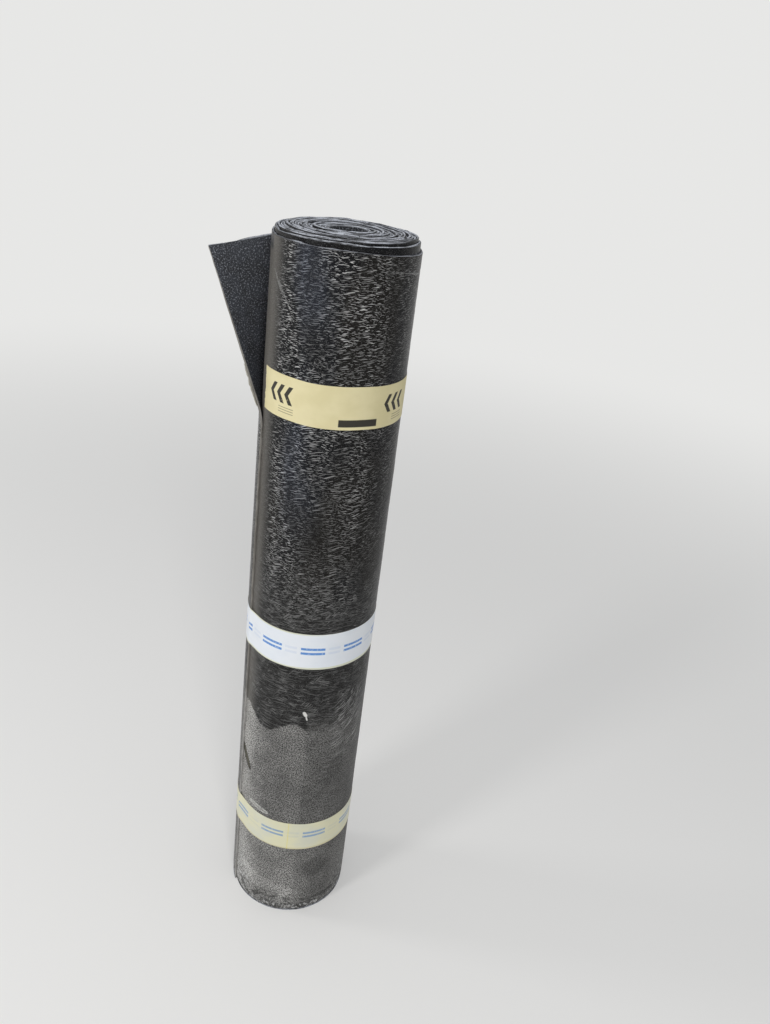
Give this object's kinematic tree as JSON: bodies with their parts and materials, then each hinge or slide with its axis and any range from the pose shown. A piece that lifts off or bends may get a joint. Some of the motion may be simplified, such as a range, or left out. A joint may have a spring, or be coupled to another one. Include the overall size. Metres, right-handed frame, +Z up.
{
  "type": "roll of roofing felt",
  "caption": "Roll of black bituminous roofing felt standing on its end, held by a paper label and tapes, one corner of its free end sprung open.",
  "frame": {"origin": "on the bore's axis, at the bore's lower mouth; the outermost turn has slipped 9.5 mm lower and stands on the floor", "axes": "+Z up along the roll's axis, -Y towards the side that the picture shows, and the sheet's free edge on the side near -X"},
  "size_m": [0.2539, 0.1753, 1.0108],
  "materials": {
    "bitumen": "semi-gloss black bitumen, crinkled film outside and fine mineral grain inside",
    "label_paper": "cream paper, slightly wrinkled",
    "white_tape": "white plastic tape, semi-gloss",
    "tan_tape": "tan tape, dusty"
  },
  "bodies": {
    "root": {"felt_roll": "bitumen", "label_band": "label_paper", "middle_tape": "white_tape", "lower_tape": "tan_tape"}
  },
  "joints": []
}
